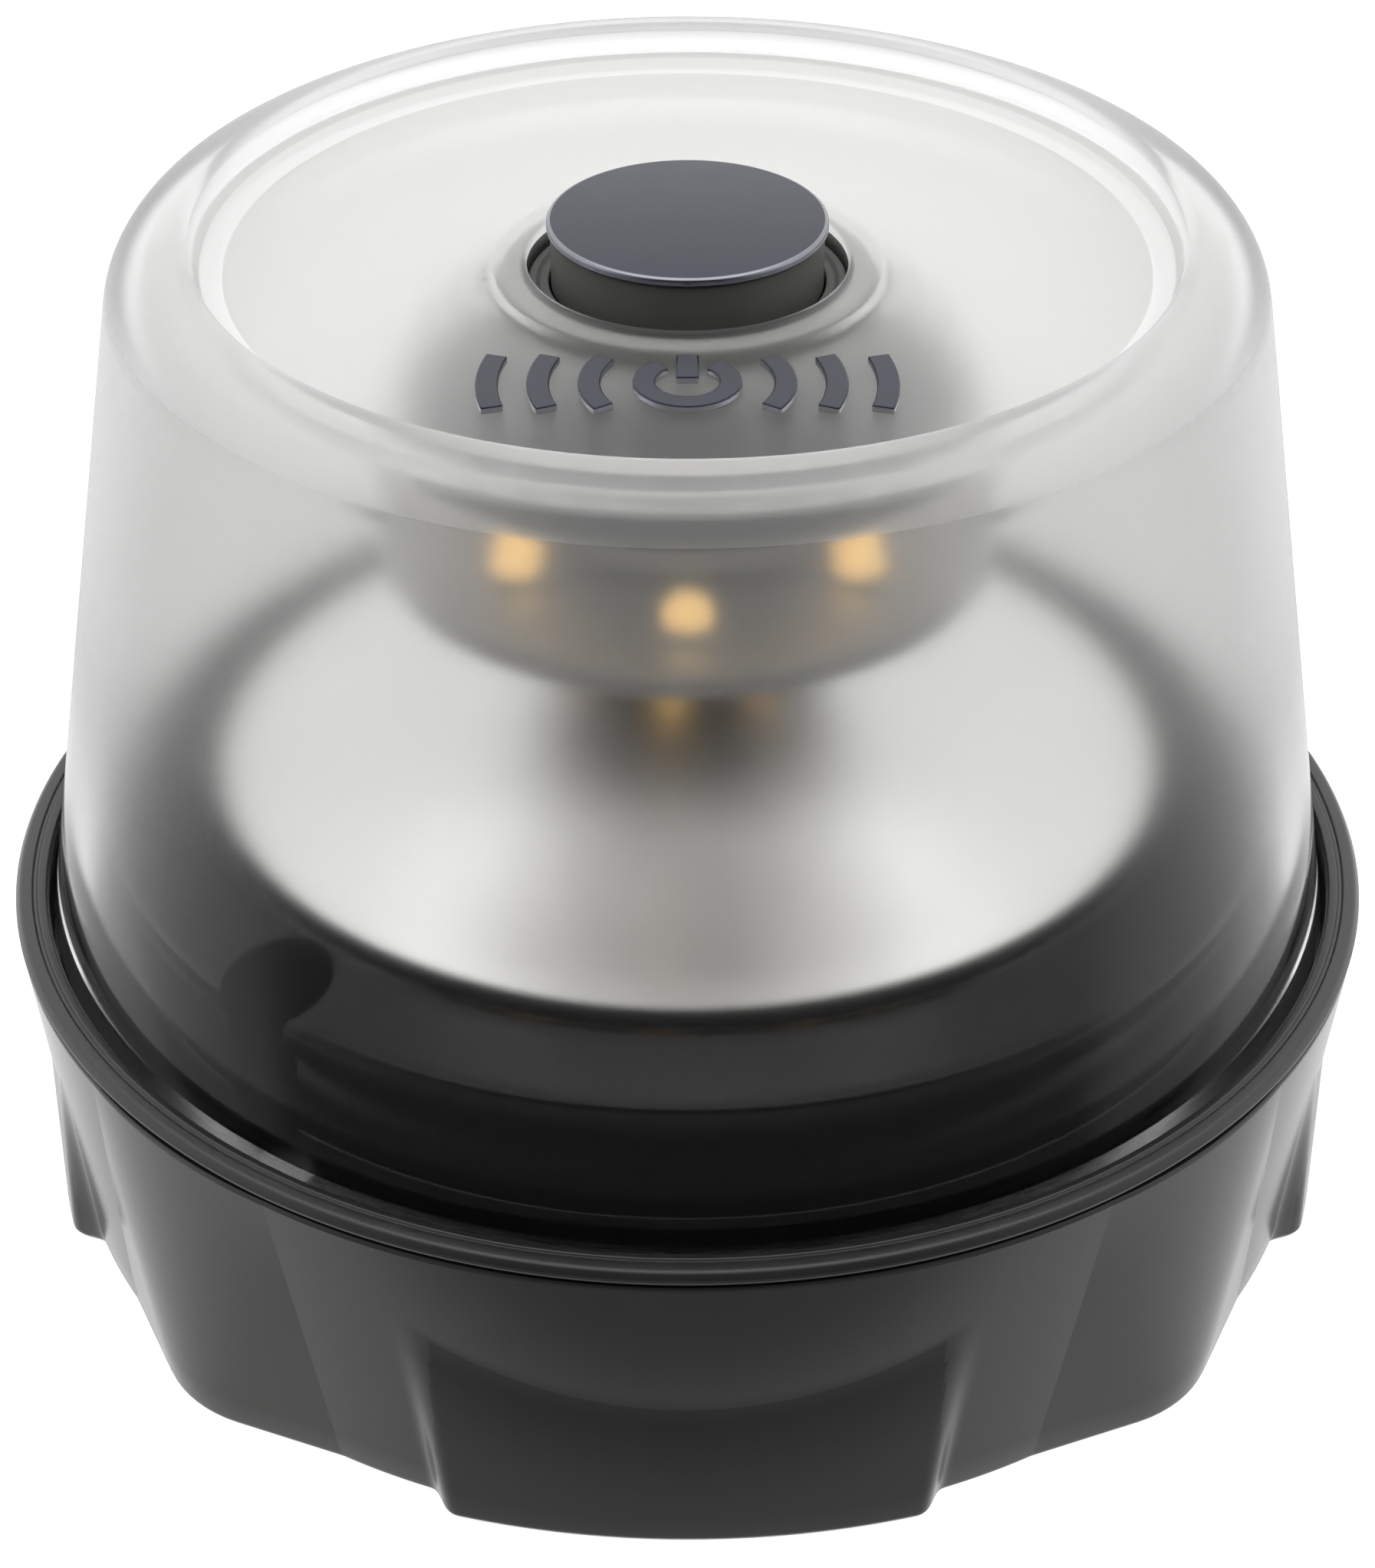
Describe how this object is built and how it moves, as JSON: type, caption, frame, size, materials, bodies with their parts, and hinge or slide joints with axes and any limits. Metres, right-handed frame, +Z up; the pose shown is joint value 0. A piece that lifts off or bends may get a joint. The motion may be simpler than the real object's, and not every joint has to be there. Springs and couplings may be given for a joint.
{
  "type": "electronic road flare",
  "caption": "Round battery road flare: lobed twist-off base with magnet, black collar, clear dome over an amber LED head, and a top push button.",
  "frame": {"origin": "middle of the underside, on the surface that the foot pad rests on", "axes": "+Z up through the button, -Y is the front with the raised mark, +X to the right seen from the front"},
  "size_m": [0.086, 0.086, 0.0657],
  "materials": {
    "black_shell": "satin moulded",
    "black_ring": "gloss moulded",
    "black_inner": "matt moulded",
    "clear_dome": "clear, lightly frosted inside",
    "smoked_clear": "smoky, frosted",
    "reflector": "satin metallised",
    "slate_metal": "satin, bright edge",
    "rubber": "matt",
    "magnet_steel": "nickel plated",
    "brass_contact": "plated",
    "circuit_board": "solder mask",
    "white_board": "white solder mask",
    "chip": "moulded package",
    "copper_coil": "enamelled wire",
    "battery_case": "printed can, no label",
    "amber_led": "lit amber lens"
  },
  "bodies": {
    "base": {"base_cup": "black_shell", "foot_pad": "rubber", "magnet": "magnet_steel"},
    "bayonet_ring": {"bayonet_ring": "black_inner"},
    "head": {"collar_ring": "black_ring", "dome": "clear_dome", "dome_gasket": "rubber", "chassis": "black_inner", "cup_seal": "rubber", "battery_tray": "black_inner", "battery": "battery_case", "battery_stud_plus": "magnet_steel", "battery_stud_minus": "magnet_steel", "snap_contact_plus": "brass_contact", "snap_contact_minus": "brass_contact", "snap_block": "rubber", "tray_screw_1": "magnet_steel", "tray_screw_2": "magnet_steel", "tray_screw_3": "magnet_steel", "tray_screw_4": "magnet_steel", "main_board": "circuit_board", "controller_chip": "chip", "boost_coil": "copper_coil", "capacitor": "magnet_steel", "switch_board": "circuit_board", "lower_reflector": "reflector", "centre_column": "black_inner", "led_board": "white_board", "led_1": "amber_led", "led_2": "amber_led", "led_3": "amber_led", "led_4": "amber_led", "led_5": "amber_led", "led_6": "amber_led", "upper_reflector": "black_inner", "head_shell": "smoked_clear", "button_bezel": "smoked_clear", "button_seal": "rubber", "switch_body": "chip", "button_spring": "magnet_steel", "mark_ring": "slate_metal", "mark_stem": "slate_metal", "mark_arc_right_1": "slate_metal", "mark_arc_right_2": "slate_metal", "mark_arc_right_3": "slate_metal", "mark_arc_left_1": "slate_metal", "mark_arc_left_2": "slate_metal", "mark_arc_left_3": "slate_metal"},
    "button": {"button_cap": "slate_metal", "button_stem": "black_inner", "switch_plunger": "black_inner"}
  },
  "joints": [
    {"name": "base_twist", "type": "hinge", "parent": "base", "child": "bayonet_ring", "pos_m": [0, 0, 0.0135], "axis": [0, 0, 1], "range_deg": [0, 30]},
    {"name": "head_lift", "type": "slide", "parent": "bayonet_ring", "child": "head", "axis": [0, 0, 1], "range_m": [0, 0.03]},
    {"name": "button_press", "type": "slide", "parent": "head", "child": "button", "axis": [0, 0, -1], "range_m": [0, 0.0012], "stiffness_N_per_m": 900, "springref_m": -0.0008, "deforming": ["button_spring"]}
  ]
}
